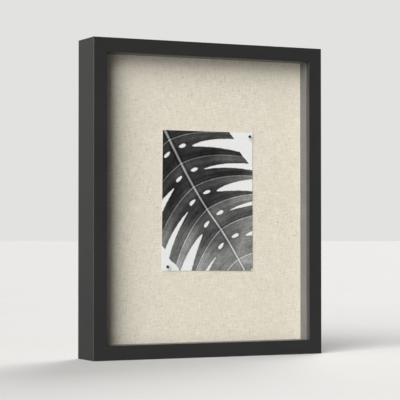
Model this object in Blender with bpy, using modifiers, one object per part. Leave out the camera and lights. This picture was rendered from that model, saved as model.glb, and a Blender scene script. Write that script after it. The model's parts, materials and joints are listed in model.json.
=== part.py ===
"""Shadow box: a rear-loading display case for a shelf or a wall.

Units are metres and +Z is up. The box stands on its bottom rail, the glass faces -Y and
the back faces +Y. The origin is on the ground, at the middle of the width and the depth.
Sizes across the depth are given as a distance behind the front face of the frame.
"""

import math

import bmesh
import bpy
from mathutils import Matrix, Vector

MM = 0.001

# --- Driving dimensions -----------------------------------------------------------------

GAP = 0.3 * MM  # left between every two pieces that touch

SIGHT_WIDTH = 279.4 * MM  # opening inside the lip
SIGHT_HEIGHT = 355.6 * MM
FACE_WIDTH = 17.8 * MM  # front face of a rail
FRAME_DEPTH = 50.0 * MM
LIP_DEPTH = 5.4 * MM
RABBET_WIDTH = 7.0 * MM  # step behind the lip
RAIL_EDGE_RADIUS = 0.5 * MM

GLASS_THICKNESS = 2.0 * MM
GLASS_SIDE_PLAY = 0.9 * MM
LINEN_FACE_DEPTH = 24.0 * MM
LINEN_THICKNESS = 0.6 * MM
BOARD_THICKNESS = 10.0 * MM
PANEL_THICKNESS = 3.0 * MM
PANEL_SIDE_PLAY = 0.7 * MM

PRINT_WIDTH = 126.0 * MM
PRINT_HEIGHT = 175.0 * MM
PRINT_THICKNESS = 0.3 * MM
PRINT_SHIFT_X = 6.8 * MM  # from the middle of the opening
PRINT_SHIFT_Z = -1.1 * MM
PRINT_TILT = math.radians(0.3)

PIN_INSET_X = 6.0 * MM  # from the print's side edge
PIN_INSET_Z = 5.0 * MM  # from its top or bottom edge
PIN_HEAD_RADIUS = 1.85 * MM
PIN_STANDOFF = 4.5 * MM  # centre of the head to the linen
PIN_REACH = 8.5 * MM  # point of the shank behind the linen's face
PIN_SHANK_RADIUS = 0.45 * MM
PIN_POINT_LENGTH = 1.6 * MM

CLIP_THICKNESS = 1.0 * MM
CLIP_REACH = 17.7 * MM  # rivet axis to the locking tip
CLIP_TAIL = 10.0 * MM  # rivet axis to the end of the finger tab
CLIP_TIP_RADIUS = 2.8 * MM
CLIP_EYE_RADIUS = 5.5 * MM
CLIP_TAIL_RADIUS = 3.4 * MM
CLIP_TAB_START = 5.4 * MM  # where the finger tab turns up
CLIP_TAB_RISE = 2.6 * MM
CLIP_EDGE_INSET = 14.7 * MM  # rivet axis to the rabbet wall
CLIP_GROOVE_DEPTH = 4.0 * MM
CLIP_GROOVE_HEIGHT = 2.2 * MM
CLIP_SIDE_SPREAD = 88.0 * MM  # side clips above and below the middle

RIVET_SHANK_RADIUS = 1.5 * MM
RIVET_HEAD_RADIUS = 3.4 * MM
RIVET_HEAD_HEIGHT = 1.4 * MM
RIVET_FLANGE_RADIUS = 3.2 * MM
RIVET_FLANGE_HEIGHT = 0.8 * MM

VNAIL_LEG = 5.0 * MM
VNAIL_HALF_ANGLE = math.radians(50.0)
VNAIL_THICKNESS = 0.6 * MM
VNAIL_DEPTH = 10.0 * MM
VNAIL_SUNK = 0.4 * MM
VNAIL_CORNER_INSET = 3.25 * MM  # from both outer sides to the bend of the V

HANGER_LENGTH = 44.0 * MM
HANGER_WIDTH = 8.4 * MM
HANGER_THICKNESS = 0.8 * MM
HANGER_RISE = 1.0 * MM
HANGER_RAISED_LENGTH = 30.0 * MM
HANGER_SLOPE = 2.0 * MM
HANGER_TEETH = 10
HANGER_TOOTH_PITCH = 2.6 * MM
HANGER_TOOTH_DEPTH = 1.5 * MM
HANGER_CORNER_RADIUS = 2.0 * MM
HANGER_NAIL_INSET = 2.8 * MM

NAIL_HEAD_RADIUS = 1.9 * MM
NAIL_HEAD_HEIGHT = 0.7 * MM
NAIL_SHANK_RADIUS = 0.7 * MM
NAIL_LENGTH = 9.0 * MM
NAIL_POINT_LENGTH = 1.6 * MM

BUMPER_RADIUS = 4.5 * MM
BUMPER_THICKNESS = 2.6 * MM
BUMPER_EDGE_RADIUS = 0.6 * MM
BUMPER_CORNER_INSET = 24.0 * MM

OVERRUN = 1.0 * MM  # how far a cutter runs past the face it opens
ROUND_STEPS = 20
SMALL_ROUND_STEPS = 14
ARC_STEPS = 3
SHARP_ANGLE = math.radians(40)

# --- Sizes and places that follow -------------------------------------------------------

OUTER_WIDTH = SIGHT_WIDTH + 2 * FACE_WIDTH
OUTER_HEIGHT = SIGHT_HEIGHT + 2 * FACE_WIDTH
WALL_THICKNESS = FACE_WIDTH - RABBET_WIDTH
RABBET_HALF_WIDTH = SIGHT_WIDTH / 2 + RABBET_WIDTH
RABBET_HALF_HEIGHT = SIGHT_HEIGHT / 2 + RABBET_WIDTH
FRONT_Y = -(FRAME_DEPTH + GAP + BUMPER_THICKNESS) / 2
MIDDLE_Z = OUTER_HEIGHT / 2

GLASS_DEPTH = LIP_DEPTH + GAP
SPACER_DEPTH = GLASS_DEPTH + GLASS_THICKNESS + GAP
BOARD_DEPTH = LINEN_FACE_DEPTH + LINEN_THICKNESS + GAP
PANEL_DEPTH = BOARD_DEPTH + BOARD_THICKNESS + GAP
CLIP_DEPTH = PANEL_DEPTH + PANEL_THICKNESS + GAP
GROOVE_DEPTH = PANEL_DEPTH + PANEL_THICKNESS
PRINT_DEPTH = LINEN_FACE_DEPTH - GAP - PRINT_THICKNESS
PIN_HOLE_RADIUS = PIN_SHANK_RADIUS + GAP


def depth_to_y(depth):
    """World Y of a plane that lies this far behind the frame's front face."""
    return FRONT_Y + depth


# --- Scene and materials ----------------------------------------------------------------


def clear_scene():
    for old_object in list(bpy.data.objects):
        bpy.data.objects.remove(old_object, do_unlink=True)


def make_collection(name):
    collection = bpy.data.collections.new(name)
    bpy.context.scene.collection.children.link(collection)
    return collection


def make_material(name, colour, roughness, metallic=0.0, alpha=1.0):
    material = bpy.data.materials.new(name)
    material.use_nodes = True
    shader = material.node_tree.nodes["Principled BSDF"]
    shader.inputs["Base Color"].default_value = (*colour, 1.0)
    shader.inputs["Roughness"].default_value = roughness
    shader.inputs["Metallic"].default_value = metallic
    shader.inputs["Alpha"].default_value = alpha
    material.diffuse_color = (*colour, alpha)
    return material


FINISHES = {
    "black_paint": ((0.022, 0.022, 0.022), 0.5, 0.0, 1.0),
    "clear_glass": ((0.9, 0.95, 0.93), 0.02, 0.0, 0.25),
    "grey_wrap": ((0.2, 0.19, 0.17), 0.7, 0.0, 1.0),
    "linen": ((0.72, 0.68, 0.58), 0.9, 0.0, 1.0),
    "foam": ((0.85, 0.85, 0.82), 0.85, 0.0, 1.0),
    "hardboard": ((0.3, 0.19, 0.11), 0.7, 0.0, 1.0),
    "print_paper": ((0.55, 0.55, 0.54), 0.5, 0.0, 1.0),
    "pin_plastic": ((0.01, 0.01, 0.01), 0.25, 0.0, 1.0),
    "bright_steel": ((0.6, 0.6, 0.6), 0.3, 1.0, 1.0),
    "nickel_steel": ((0.55, 0.54, 0.5), 0.35, 1.0, 1.0),
    "brass_plate": ((0.6, 0.46, 0.2), 0.35, 1.0, 1.0),
    "bumper_felt": ((0.04, 0.04, 0.04), 0.95, 0.0, 1.0),
}


# --- Modelling helpers ------------------------------------------------------------------


def add_object(name, mesh, collection, finish=None):
    """Links a mesh as a new object. A part gets a material of its own; a cutter gets none."""
    new_object = bpy.data.objects.new(name, mesh)
    collection.objects.link(new_object)
    if finish:
        if not mesh.materials:
            mesh.materials.append(None)
        slot = new_object.material_slots[0]
        slot.link = "OBJECT"
        slot.material = make_material(name, *FINISHES[finish])
    else:
        new_object.hide_render = True
        new_object.display_type = "WIRE"
    return new_object


def mesh_from_bmesh(name, shape):
    mesh = bpy.data.meshes.new(name)
    bmesh.ops.recalc_face_normals(shape, faces=shape.faces)
    shape.to_mesh(mesh)
    shape.free()
    return mesh


def box_mesh(name, low, high):
    """A box between two corners."""
    low = Vector(low)
    high = Vector(high)
    shape = bmesh.new()
    bmesh.ops.create_cube(shape, size=1.0)
    bmesh.ops.scale(shape, vec=high - low, verts=shape.verts)
    bmesh.ops.translate(shape, vec=(low + high) / 2, verts=shape.verts)
    return mesh_from_bmesh(name, shape)


def cylinder_mesh(name, radius, low, high, steps=SMALL_ROUND_STEPS):
    """A cylinder about the Y axis, between two Y values."""
    shape = bmesh.new()
    bmesh.ops.create_cone(
        shape, cap_ends=True, segments=steps, radius1=radius, radius2=radius, depth=high - low
    )
    bmesh.ops.rotate(shape, matrix=Matrix.Rotation(math.radians(-90), 3, "X"), verts=shape.verts)
    bmesh.ops.translate(shape, vec=(0, (low + high) / 2, 0), verts=shape.verts)
    return mesh_from_bmesh(name, shape)


def outline_mesh(name, points, half_thickness):
    """A flat outline in X and Y, extruded both ways along Z."""
    curve = bpy.data.curves.new(name, "CURVE")
    curve.dimensions = "2D"
    curve.fill_mode = "BOTH"
    curve.extrude = half_thickness
    spline = curve.splines.new("POLY")
    spline.points.add(len(points) - 1)
    for spline_point, (across, along) in zip(spline.points, points):
        spline_point.co = (across, along, 0, 1)
    spline.use_cyclic_u = True
    holder = bpy.data.objects.new(name, curve)
    bpy.context.scene.collection.objects.link(holder)
    evaluated = holder.evaluated_get(bpy.context.evaluated_depsgraph_get())
    mesh = bpy.data.meshes.new_from_object(evaluated)
    mesh.name = name
    bpy.data.objects.remove(holder)
    shape = bmesh.new()
    shape.from_mesh(mesh)
    bmesh.ops.remove_doubles(shape, verts=shape.verts, dist=0.001 * MM)
    bmesh.ops.recalc_face_normals(shape, faces=shape.faces)
    shape.to_mesh(mesh)
    shape.free()
    return mesh


def turned_mesh(name, profile, steps=ROUND_STEPS):
    """A profile of (radius, height) points, listed from top to bottom, turned about Y.

    Height runs along +Y in the finished mesh.
    """
    mesh = bpy.data.meshes.new(name)
    rows = [(radius, 0, height) for radius, height in profile]
    mesh.from_pydata(rows, [(i, i + 1) for i in range(len(rows) - 1)], [])
    holder = bpy.data.objects.new(name, mesh)
    bpy.context.scene.collection.objects.link(holder)
    screw = holder.modifiers.new("turn", "SCREW")
    screw.steps = steps
    screw.render_steps = steps
    screw.use_merge_vertices = True
    screw.merge_threshold = 0.001 * MM
    turned = evaluated_copy(holder, name)
    turned.transform(Matrix.Rotation(math.radians(-90), 4, "X"))
    bpy.data.objects.remove(holder)
    return turned


def evaluated_copy(source, name):
    """The mesh of an object with its modifiers applied."""
    evaluated = source.evaluated_get(bpy.context.evaluated_depsgraph_get())
    mesh = bpy.data.meshes.new_from_object(evaluated)
    mesh.name = name
    return mesh


def add_boolean(target, cutter, operation="DIFFERENCE"):
    boolean = target.modifiers.new(cutter.name, "BOOLEAN")
    boolean.operation = operation
    boolean.solver = "EXACT"
    boolean.object = cutter


def shade_round(mesh):
    mesh.shade_smooth()
    mesh.set_sharp_from_angle(angle=SHARP_ANGLE)


def arc(centre_x, centre_y, radius, start_degrees, end_degrees, steps):
    """Points along an arc, both ends included."""
    points = []
    for step in range(steps + 1):
        angle = math.radians(start_degrees + (end_degrees - start_degrees) * step / steps)
        points.append((centre_x + radius * math.cos(angle), centre_y + radius * math.sin(angle)))
    return points


# --- Frame ------------------------------------------------------------------------------


def rail_profile():
    """Section of a rail: X from its outer side inwards, Y back from its front face."""
    radius = RAIL_EDGE_RADIUS
    points = arc(radius, radius, radius, 180, 270, ARC_STEPS)
    points += arc(FACE_WIDTH - radius, radius, radius, 270, 360, ARC_STEPS)
    points += [
        (FACE_WIDTH, LIP_DEPTH),
        (WALL_THICKNESS, LIP_DEPTH),
        (WALL_THICKNESS, GROOVE_DEPTH),
        (WALL_THICKNESS - CLIP_GROOVE_DEPTH, GROOVE_DEPTH),
        (WALL_THICKNESS - CLIP_GROOVE_DEPTH, GROOVE_DEPTH + CLIP_GROOVE_HEIGHT),
        (WALL_THICKNESS, GROOVE_DEPTH + CLIP_GROOVE_HEIGHT),
        (WALL_THICKNESS, FRAME_DEPTH),
    ]
    points += arc(radius, FRAME_DEPTH - radius, radius, 90, 180, ARC_STEPS)
    return points


def rail_mesh(name, length, distance):
    """A rail along Z with mitred ends, its outer side at X = -distance."""
    mesh = outline_mesh(name, rail_profile(), length / 2)
    mitre_clearance = GAP / 2 * math.sqrt(2)
    for vertex in mesh.vertices:
        half_length = length / 2 - vertex.co.x - mitre_clearance
        vertex.co.z = math.copysign(half_length, vertex.co.z)
    mesh.transform(Matrix.Translation((-distance, FRONT_Y, 0)))
    return mesh


def place_round_frame(target, quarter_turns):
    """Turns an object about the frame's middle, from the left side to another."""
    turn = Matrix.Rotation(math.radians(90 * quarter_turns), 4, "Y")
    target.matrix_world = Matrix.Translation((0, 0, MIDDLE_Z)) @ turn


def make_rails(parts):
    sides = (
        ("rail_left", OUTER_HEIGHT, OUTER_WIDTH / 2, 0),
        ("rail_top", OUTER_WIDTH, OUTER_HEIGHT / 2, 1),
        ("rail_right", OUTER_HEIGHT, OUTER_WIDTH / 2, 2),
        ("rail_bottom", OUTER_WIDTH, OUTER_HEIGHT / 2, 3),
    )
    rails = {}
    for name, length, distance, quarter_turns in sides:
        rail = add_object(name, rail_mesh(name, length, distance), parts, "black_paint")
        place_round_frame(rail, quarter_turns)
        rails[name] = rail
    return rails


def vnail_outline(grow):
    """A V in plan, its bend at the origin and its legs towards +X, grown by a clearance."""
    half = VNAIL_THICKNESS / 2 + grow
    reach = VNAIL_LEG + grow
    leg = Vector((math.cos(VNAIL_HALF_ANGLE), math.sin(VNAIL_HALF_ANGLE)))
    inward = Vector((leg.y, -leg.x))
    bend = half / math.sin(VNAIL_HALF_ANGLE)
    inner = leg * reach + inward * half
    outer = leg * reach - inward * half
    return [
        (-bend, 0),
        (outer.x, -outer.y),
        (inner.x, -inner.y),
        (bend, 0),
        (inner.x, inner.y),
        (outer.x, outer.y),
    ]


def make_vnails(parts, cutters, rails):
    """One V-nail across each mitre, pressed in from the back, in a slot with clearance."""
    corners = (
        ("lower_left", -1, -1, ("rail_left", "rail_bottom")),
        ("lower_right", 1, -1, ("rail_right", "rail_bottom")),
        ("upper_left", -1, 1, ("rail_left", "rail_top")),
        ("upper_right", 1, 1, ("rail_right", "rail_top")),
    )
    back = depth_to_y(FRAME_DEPTH - VNAIL_SUNK)
    for corner, side_x, side_z, joined in corners:
        bend_x = side_x * (OUTER_WIDTH / 2 - VNAIL_CORNER_INSET)
        bend_z = MIDDLE_Z + side_z * (OUTER_HEIGHT / 2 - VNAIL_CORNER_INSET)
        inward = math.atan2(-side_z, -side_x)
        turn = Matrix.Rotation(-inward, 4, "Y") @ Matrix.Rotation(math.radians(90), 4, "X")

        nail_mesh = outline_mesh("v_nail_" + corner, vnail_outline(0), VNAIL_DEPTH / 2)
        nail = add_object("v_nail_" + corner, nail_mesh, parts, "bright_steel")
        nail.matrix_world = Matrix.Translation((bend_x, back - VNAIL_DEPTH / 2, bend_z)) @ turn

        slot_half = (VNAIL_DEPTH + GAP) / 2 + VNAIL_SUNK
        slot_mesh = outline_mesh("slot_v_nail_" + corner, vnail_outline(GAP), slot_half)
        slot = add_object("slot_v_nail_" + corner, slot_mesh, cutters)
        slot_y = back - VNAIL_DEPTH - GAP + slot_half
        slot.matrix_world = Matrix.Translation((bend_x, slot_y, bend_z)) @ turn
        for rail_name in joined:
            add_boolean(rails[rail_name], slot)


# --- Glass, spacers, board and back -----------------------------------------------------


def make_sheet(name, half_width, half_height, depth, thickness, parts, finish):
    low = (-half_width, depth_to_y(depth), MIDDLE_Z - half_height)
    high = (half_width, depth_to_y(depth + thickness), MIDDLE_Z + half_height)
    return add_object(name, box_mesh(name, low, high), parts, finish)


def make_spacers(parts):
    """Four strips that hold the board away from the glass, flush with the lip."""
    inner_x = SIGHT_WIDTH / 2 + GAP
    outer_x = RABBET_HALF_WIDTH - GAP
    inner_z = SIGHT_HEIGHT / 2 + GAP
    outer_z = RABBET_HALF_HEIGHT - GAP
    front = depth_to_y(SPACER_DEPTH)
    back = depth_to_y(LINEN_FACE_DEPTH - GAP)
    strips = {
        "spacer_left": ((-outer_x, -outer_z), (-inner_x, outer_z)),
        "spacer_right": ((inner_x, -outer_z), (outer_x, outer_z)),
        "spacer_top": ((GAP - inner_x, inner_z), (inner_x - GAP, outer_z)),
        "spacer_bottom": ((GAP - inner_x, -outer_z), (inner_x - GAP, -inner_z)),
    }
    for name, (low, high) in strips.items():
        strip = box_mesh(
            name, (low[0], front, MIDDLE_Z + low[1]), (high[0], back, MIDDLE_Z + high[1])
        )
        add_object(name, strip, parts, "grey_wrap")


def make_linen(parts):
    """Linen over the board's face and turned down its four edges: an open tray."""
    half_width = RABBET_HALF_WIDTH - GAP
    half_height = RABBET_HALF_HEIGHT - GAP
    front = depth_to_y(LINEN_FACE_DEPTH)
    back = depth_to_y(BOARD_DEPTH + BOARD_THICKNESS)
    low = (-half_width, front, MIDDLE_Z - half_height)
    high = (half_width, back, MIDDLE_Z + half_height)
    shape = bmesh.new()
    mesh = box_mesh("linen_cover", low, high)
    shape.from_mesh(mesh)
    back_faces = [face for face in shape.faces if face.normal.y > 0.5]
    bmesh.ops.delete(shape, geom=back_faces, context="FACES_ONLY")
    shape.to_mesh(mesh)
    shape.free()
    linen = add_object("linen_cover", mesh, parts, "linen")
    solidify = linen.modifiers.new("cloth_thickness", "SOLIDIFY")
    solidify.thickness = LINEN_THICKNESS
    solidify.offset = -1.0
    solidify.use_even_offset = True
    return linen


def make_board(parts):
    edge = LINEN_THICKNESS + 2 * GAP
    return make_sheet(
        "pin_board",
        RABBET_HALF_WIDTH - edge,
        RABBET_HALF_HEIGHT - edge,
        BOARD_DEPTH,
        BOARD_THICKNESS,
        parts,
        "foam",
    )


# --- Print and pins ---------------------------------------------------------------------


def on_print(right, up):
    """World X and Z of a point given from the middle of the print, along its edges."""
    cosine = math.cos(PRINT_TILT)
    sine = math.sin(PRINT_TILT)
    x = PRINT_SHIFT_X + right * cosine + up * sine
    z = MIDDLE_Z + PRINT_SHIFT_Z - right * sine + up * cosine
    return x, z


def make_print(parts):
    half = Vector((PRINT_WIDTH / 2, PRINT_THICKNESS / 2, PRINT_HEIGHT / 2))
    print_sheet = add_object(
        "leaf_print", box_mesh("leaf_print", -half, half), parts, "print_paper"
    )
    centre_y = depth_to_y(PRINT_DEPTH + PRINT_THICKNESS / 2)
    print_sheet.location = (PRINT_SHIFT_X, centre_y, MIDDLE_Z + PRINT_SHIFT_Z)
    print_sheet.rotation_euler = (0, PRINT_TILT, 0)
    return print_sheet


def pin_head_mesh():
    shape = bmesh.new()
    bmesh.ops.create_uvsphere(shape, u_segments=16, v_segments=10, radius=PIN_HEAD_RADIUS)
    bmesh.ops.rotate(shape, matrix=Matrix.Rotation(math.radians(-90), 3, "X"), verts=shape.verts)
    mesh = mesh_from_bmesh("pin_head", shape)
    shade_round(mesh)
    return mesh


def pin_shank_mesh():
    """A needle along +Y from inside the head to its point."""
    length = PIN_STANDOFF + PIN_REACH
    profile = [
        (0, length),
        (PIN_SHANK_RADIUS, length - PIN_POINT_LENGTH),
        (PIN_SHANK_RADIUS, 0),
        (0, 0),
    ]
    mesh = turned_mesh("pin_shank", profile, 10)
    shade_round(mesh)
    return mesh


def make_pins(parts, cutters, pierced):
    """Two ball-head pins through opposite corners of the print, each with its hole."""
    reach_x = PRINT_WIDTH / 2 - PIN_INSET_X
    reach_z = PRINT_HEIGHT / 2 - PIN_INSET_Z
    head_y = depth_to_y(LINEN_FACE_DEPTH - PIN_STANDOFF)
    head_mesh = pin_head_mesh()
    shank_mesh = pin_shank_mesh()
    socket_mesh = cylinder_mesh("pin_socket", PIN_HOLE_RADIUS, -GAP, PIN_HEAD_RADIUS + GAP, 10)
    hole_length = PIN_STANDOFF + PIN_REACH + GAP
    hole_mesh = cylinder_mesh("pin_hole", PIN_HOLE_RADIUS, PIN_HEAD_RADIUS, hole_length, 10)
    for corner, right, up in (("upper", reach_x, reach_z), ("lower", -reach_x, -reach_z)):
        x, z = on_print(right, up)
        spot = (x, head_y, z)
        head = add_object("pin_head_" + corner, head_mesh, parts, "pin_plastic")
        head.location = spot
        shank = add_object("pin_shank_" + corner, shank_mesh, parts, "bright_steel")
        shank.location = spot
        socket = add_object("socket_pin_" + corner, socket_mesh, cutters)
        socket.location = spot
        add_boolean(head, socket)
        hole = add_object("hole_pin_" + corner, hole_mesh, cutters)
        hole.location = spot
        for sheet in pierced:
            add_boolean(sheet, hole)


# --- Swivel clips and rivets ------------------------------------------------------------


def clip_outline():
    """Plan of a clip: three circles in a row joined by their tangents, tip towards -X."""
    tip_x = -(CLIP_REACH - CLIP_TIP_RADIUS)
    tail_x = CLIP_TAIL - CLIP_TAIL_RADIUS
    tip_lean = math.degrees(math.asin((CLIP_EYE_RADIUS - CLIP_TIP_RADIUS) / -tip_x))
    tail_lean = math.degrees(math.asin((CLIP_EYE_RADIUS - CLIP_TAIL_RADIUS) / tail_x))
    points = arc(tail_x, 0, CLIP_TAIL_RADIUS, tail_lean - 90, 90 - tail_lean, 2 * ARC_STEPS)
    points += arc(0, 0, CLIP_EYE_RADIUS, 90 - tail_lean, 90 + tip_lean, ARC_STEPS)
    points += arc(tip_x, 0, CLIP_TIP_RADIUS, 90 + tip_lean, 270 - tip_lean, 2 * ARC_STEPS)
    points += arc(0, 0, CLIP_EYE_RADIUS, 270 - tip_lean, 270 + tail_lean, ARC_STEPS)
    return points


def clip_side_profile():
    """Side view of a clip: X along it, Y up from its seat, with the tab turned up at +X."""
    start = CLIP_TAB_START
    rise_end = start + CLIP_TAB_RISE
    lean = CLIP_THICKNESS * math.tan(math.radians(45) / 2)
    return [
        (-CLIP_REACH - OVERRUN, 0),
        (start, 0),
        (rise_end, CLIP_TAB_RISE),
        (CLIP_TAIL + OVERRUN, CLIP_TAB_RISE),
        (CLIP_TAIL + OVERRUN, CLIP_TAB_RISE + CLIP_THICKNESS),
        (rise_end - lean, CLIP_TAB_RISE + CLIP_THICKNESS),
        (start - lean, CLIP_THICKNESS),
        (-CLIP_REACH - OVERRUN, CLIP_THICKNESS),
    ]


def clip_mesh(cutters):
    """A stamped clip in X and Z with its seat at Y = 0, turning about the Y axis."""
    upright = Matrix.Rotation(math.radians(90), 4, "X")
    height = CLIP_TAB_RISE + CLIP_THICKNESS
    plan = outline_mesh("clip_plan", clip_outline(), height + OVERRUN)
    plan.transform(upright)
    plan_object = add_object("clip_plan", plan, cutters)
    side = outline_mesh("clip_side", clip_side_profile(), CLIP_EYE_RADIUS + OVERRUN)
    side_object = add_object("clip_side", side, cutters)
    eye = cylinder_mesh("clip_eye", RIVET_SHANK_RADIUS + GAP, -OVERRUN, height)
    eye_object = add_object("clip_eye", eye, cutters)
    add_boolean(side_object, plan_object, "INTERSECT")
    add_boolean(side_object, eye_object)
    return evaluated_copy(side_object, "turn_clip")


def rivet_mesh():
    """A rivet along +Y from its inner flange to its domed head, with Y = 0 at the clip's seat."""
    flange_top = PANEL_DEPTH - GAP - CLIP_DEPTH
    head_base = CLIP_THICKNESS + GAP
    profile = [
        (0, head_base + RIVET_HEAD_HEIGHT),
        (RIVET_HEAD_RADIUS * 0.45, head_base + RIVET_HEAD_HEIGHT * 0.9),
        (RIVET_HEAD_RADIUS * 0.8, head_base + RIVET_HEAD_HEIGHT * 0.6),
        (RIVET_HEAD_RADIUS, head_base + RIVET_HEAD_HEIGHT * 0.2),
        (RIVET_HEAD_RADIUS, head_base),
        (RIVET_SHANK_RADIUS, head_base),
        (RIVET_SHANK_RADIUS, flange_top),
        (RIVET_FLANGE_RADIUS, flange_top),
        (RIVET_FLANGE_RADIUS, flange_top - RIVET_FLANGE_HEIGHT),
        (0, flange_top - RIVET_FLANGE_HEIGHT),
    ]
    mesh = turned_mesh("rivet", profile, SMALL_ROUND_STEPS)
    shade_round(mesh)
    return mesh


def clip_places():
    """Name, X, Z and turn about Y of each clip; a turn of 0 points its tip at -X."""
    side_x = RABBET_HALF_WIDTH - CLIP_EDGE_INSET
    end_z = RABBET_HALF_HEIGHT - CLIP_EDGE_INSET
    return (
        ("left_upper", -side_x, CLIP_SIDE_SPREAD, 0),
        ("left_lower", -side_x, -CLIP_SIDE_SPREAD, 0),
        ("top", 0, end_z, 90),
        ("right_upper", side_x, CLIP_SIDE_SPREAD, 180),
        ("right_lower", side_x, -CLIP_SIDE_SPREAD, 180),
        ("bottom", 0, -end_z, 270),
    )


def make_clips(parts, cutters, board, panel):
    """Six clips turn on rivets in the back panel, their tips in the rails' groove."""
    shared_clip = clip_mesh(cutters)
    shared_rivet = rivet_mesh()
    hole_radius = RIVET_SHANK_RADIUS + GAP
    hole_start = PANEL_DEPTH - CLIP_DEPTH - OVERRUN
    panel_hole = cylinder_mesh("panel_hole", hole_radius, hole_start, OVERRUN)
    recess_floor = PANEL_DEPTH - CLIP_DEPTH - 2 * GAP - RIVET_FLANGE_HEIGHT
    recess_top = PANEL_DEPTH - CLIP_DEPTH
    recess = cylinder_mesh("recess", RIVET_FLANGE_RADIUS + GAP, recess_floor, recess_top)
    seat_y = depth_to_y(CLIP_DEPTH)
    for place, x, up, turn in clip_places():
        spot = (x, seat_y, MIDDLE_Z + up)
        clip = add_object("turn_clip_" + place, shared_clip, parts, "nickel_steel")
        clip.location = spot
        clip.rotation_euler = (0, math.radians(turn), 0)
        rivet = add_object("rivet_" + place, shared_rivet, parts, "bright_steel")
        rivet.location = spot
        hole_cutter = add_object("hole_rivet_" + place, panel_hole, cutters)
        hole_cutter.location = spot
        add_boolean(panel, hole_cutter)
        recess_cutter = add_object("recess_rivet_" + place, recess, cutters)
        recess_cutter.location = spot
        add_boolean(board, recess_cutter)


# --- Sawtooth hangers, nails and bumpers ------------------------------------------------


def hanger_outline():
    """Plan of a hanger: a strip along X with teeth in the middle of its lower edge."""
    half_length = HANGER_LENGTH / 2
    half_width = HANGER_WIDTH / 2
    corner = HANGER_CORNER_RADIUS
    first_tooth = -HANGER_TEETH * HANGER_TOOTH_PITCH / 2
    points = arc(-half_length + corner, -half_width + corner, corner, 180, 270, ARC_STEPS)
    for tooth in range(HANGER_TEETH):
        start = first_tooth + tooth * HANGER_TOOTH_PITCH
        points.append((start, -half_width))
        points.append((start + HANGER_TOOTH_PITCH / 2, -half_width + HANGER_TOOTH_DEPTH))
    points.append((-first_tooth, -half_width))
    points += arc(half_length - corner, -half_width + corner, corner, 270, 360, ARC_STEPS)
    points += arc(half_length - corner, half_width - corner, corner, 0, 90, ARC_STEPS)
    points += arc(-half_length + corner, half_width - corner, corner, 90, 180, ARC_STEPS)
    return points


def hanger_side_profile():
    """Side view of a hanger: X along it, Y up from the rail, with a raised middle."""
    end = HANGER_LENGTH / 2 + OVERRUN
    raised = HANGER_RAISED_LENGTH / 2
    foot = raised + HANGER_SLOPE
    left_half = [(-end, 0), (-foot, 0), (-raised, HANGER_RISE)]
    under = left_half + [(-x, y) for x, y in reversed(left_half)]
    over = [(x, y + HANGER_THICKNESS) for x, y in reversed(under)]
    return under + over


def hanger_mesh(cutters):
    """A sawtooth hanger in X and Z with its feet at Y = 0 and its teeth towards -Z."""
    plan = outline_mesh("hanger_plan", hanger_outline(), HANGER_RISE + HANGER_THICKNESS + OVERRUN)
    plan.transform(Matrix.Rotation(math.radians(90), 4, "X"))
    plan_object = add_object("hanger_plan", plan, cutters)
    side = outline_mesh("hanger_side", hanger_side_profile(), HANGER_WIDTH)
    side_object = add_object("hanger_side", side, cutters)
    add_boolean(side_object, plan_object, "INTERSECT")
    nail_x = HANGER_LENGTH / 2 - HANGER_NAIL_INSET
    for end_name, x in (("first", -nail_x), ("second", nail_x)):
        hole_end = HANGER_THICKNESS + OVERRUN
        hole = cylinder_mesh("hanger_hole", NAIL_SHANK_RADIUS + GAP, -OVERRUN, hole_end, 10)
        hole_object = add_object("hanger_hole_" + end_name, hole, cutters)
        hole_object.location = (x, 0, 0)
        add_boolean(side_object, hole_object)
    return evaluated_copy(side_object, "sawtooth_hanger")


def nail_mesh():
    """A nail driven along -Y, with Y = 0 under its head."""
    profile = [
        (0, NAIL_HEAD_HEIGHT),
        (NAIL_HEAD_RADIUS * 0.7, NAIL_HEAD_HEIGHT),
        (NAIL_HEAD_RADIUS, NAIL_HEAD_HEIGHT * 0.6),
        (NAIL_HEAD_RADIUS, 0),
        (NAIL_SHANK_RADIUS, 0),
        (NAIL_SHANK_RADIUS, NAIL_POINT_LENGTH - NAIL_LENGTH),
        (0, -NAIL_LENGTH),
    ]
    mesh = turned_mesh("hanger_nail", profile, 12)
    shade_round(mesh)
    return mesh


def make_hangers(parts, cutters, rails):
    """One hanger for each way up: on the top rail, and on the right rail for a wide box."""
    shared_hanger = hanger_mesh(cutters)
    shared_nail = nail_mesh()
    foot_y = depth_to_y(FRAME_DEPTH + GAP)
    head_base = foot_y + HANGER_THICKNESS + GAP
    hole_low = -(NAIL_LENGTH - HANGER_THICKNESS - GAP)
    nail_hole = cylinder_mesh("nail_hole", NAIL_SHANK_RADIUS + GAP, hole_low, OVERRUN, 10)
    rail_middle = WALL_THICKNESS / 2
    nail_reach = HANGER_LENGTH / 2 - HANGER_NAIL_INSET
    places = (
        ("top", "rail_top", 0, OUTER_HEIGHT - rail_middle, 0),
        ("side", "rail_right", OUTER_WIDTH / 2 - rail_middle, MIDDLE_Z, 90),
    )
    for place, rail_name, x, z, turn in places:
        hanger = add_object("sawtooth_hanger_" + place, shared_hanger, parts, "brass_plate")
        hanger.location = (x, foot_y, z)
        hanger.rotation_euler = (0, math.radians(turn), 0)
        along = Matrix.Rotation(math.radians(turn), 3, "Y") @ Vector((nail_reach, 0, 0))
        for end_name, sign in (("first", -1), ("second", 1)):
            nail_x = x + sign * along.x
            nail_z = z + sign * along.z
            nail_name = "hanger_nail_" + place + "_" + end_name
            nail = add_object(nail_name, shared_nail, parts, "brass_plate")
            nail.location = (nail_x, head_base, nail_z)
            hole = add_object("hole_" + nail_name, nail_hole, cutters)
            hole.location = (nail_x, depth_to_y(FRAME_DEPTH), nail_z)
            add_boolean(rails[rail_name], hole)


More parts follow.
